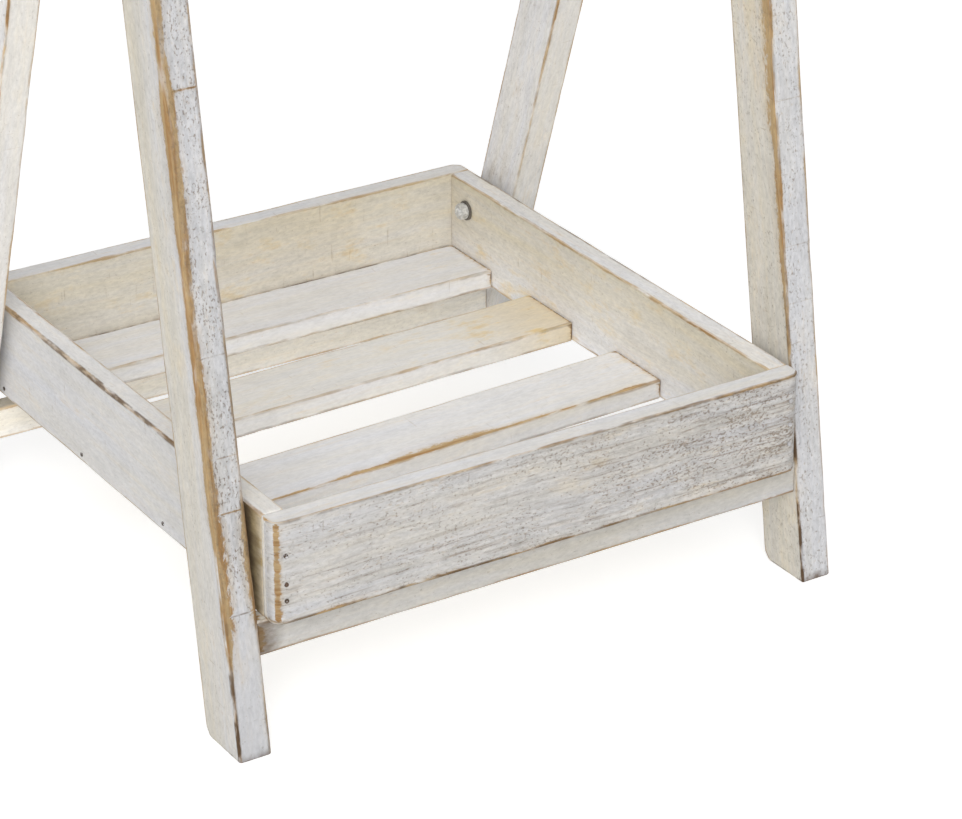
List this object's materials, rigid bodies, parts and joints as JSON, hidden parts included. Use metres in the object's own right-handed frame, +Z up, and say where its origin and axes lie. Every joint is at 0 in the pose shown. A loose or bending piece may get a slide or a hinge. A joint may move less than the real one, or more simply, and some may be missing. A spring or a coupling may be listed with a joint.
{
  "type": "plant stand",
  "caption": "Folding A-frame wooden plant stand with slatted trays that pivot on the rear legs and rest on crossbars of the front legs.",
  "frame": {"origin": "on the floor, in the middle of the footprint", "axes": "+Z up, front of the stand towards -Y, +X to the right seen from the front"},
  "size_m": [0.348, 0.345, 0.6],
  "materials": {
    "leg_wood": "worn white wash over pale softwood",
    "crossbar_wood": "worn white wash over pale softwood",
    "tray_wood": "rough-sawn softwood, worn white wash",
    "slat_wood": "worn white wash over pale softwood",
    "bare_wood": "bare turned wood",
    "bolt_steel": "dull zinc plate",
    "hinge_steel": "dull zinc plate",
    "nails": "dark bare steel"
  },
  "bodies": {
    "rear_frame": {"rear_leg_left": "leg_wood", "rear_leg_right": "leg_wood", "rear_rail_dowels": "bare_wood", "rear_crossbar": "crossbar_wood", "rear_top_rail": "crossbar_wood", "rear_hinge_leaf_left": "hinge_steel", "rear_hinge_leaf_right": "hinge_steel", "rear_hinge_screws": "hinge_steel", "lower_pivot_bolts": "bolt_steel", "lower_pivot_spacers": "bolt_steel", "lower_pivot_washers": "bolt_steel", "lower_pivot_nuts": "bolt_steel", "upper_pivot_bolts": "bolt_steel", "upper_pivot_spacers": "bolt_steel", "upper_pivot_washers": "bolt_steel", "upper_pivot_nuts": "bolt_steel"},
    "front_frame": {"front_leg_left": "leg_wood", "front_leg_right": "leg_wood", "lower_crossbar": "crossbar_wood", "upper_crossbar": "crossbar_wood", "front_top_rail": "crossbar_wood", "crossbar_dowels": "bare_wood", "front_hinge_leaf_left": "hinge_steel", "front_hinge_leaf_right": "hinge_steel", "front_hinge_screws": "hinge_steel", "hinge_pin_left": "hinge_steel", "hinge_pin_right": "hinge_steel"},
    "lower_tray": {"lower_front_board": "tray_wood", "lower_back_board": "tray_wood", "lower_left_board": "tray_wood", "lower_right_board": "tray_wood", "lower_corner_nails": "nails", "lower_slat_nails": "nails", "lower_slat_1": "slat_wood", "lower_slat_2": "slat_wood", "lower_slat_3": "slat_wood", "lower_slat_4": "slat_wood"},
    "upper_tray": {"upper_front_board": "tray_wood", "upper_back_board": "tray_wood", "upper_left_board": "tray_wood", "upper_right_board": "tray_wood", "upper_corner_nails": "nails", "upper_slat_nails": "nails", "upper_slat_1": "slat_wood", "upper_slat_2": "slat_wood"}
  },
  "joints": [
    {"name": "frame_fold", "type": "hinge", "parent": "rear_frame", "child": "front_frame", "pos_m": [0, -0.05086, 0.55276], "axis": [1, 0, 0], "range_deg": [0, 27.6]},
    {"name": "lower_tray_fold", "type": "hinge", "parent": "rear_frame", "child": "lower_tray", "pos_m": [0, 0.12081, 0.1029], "axis": [-1, 0, 0], "range_deg": [0, 71.36]},
    {"name": "upper_tray_fold", "type": "hinge", "parent": "rear_frame", "child": "upper_tray", "pos_m": [0, 0.01002, 0.4305], "axis": [-1, 0, 0], "range_deg": [0, 71.36]}
  ],
  "couplings": [
    {"joint": "lower_tray_fold", "follows": "frame_fold", "ratio": 2.5837},
    {"joint": "upper_tray_fold", "follows": "frame_fold", "ratio": 2.5837}
  ]
}
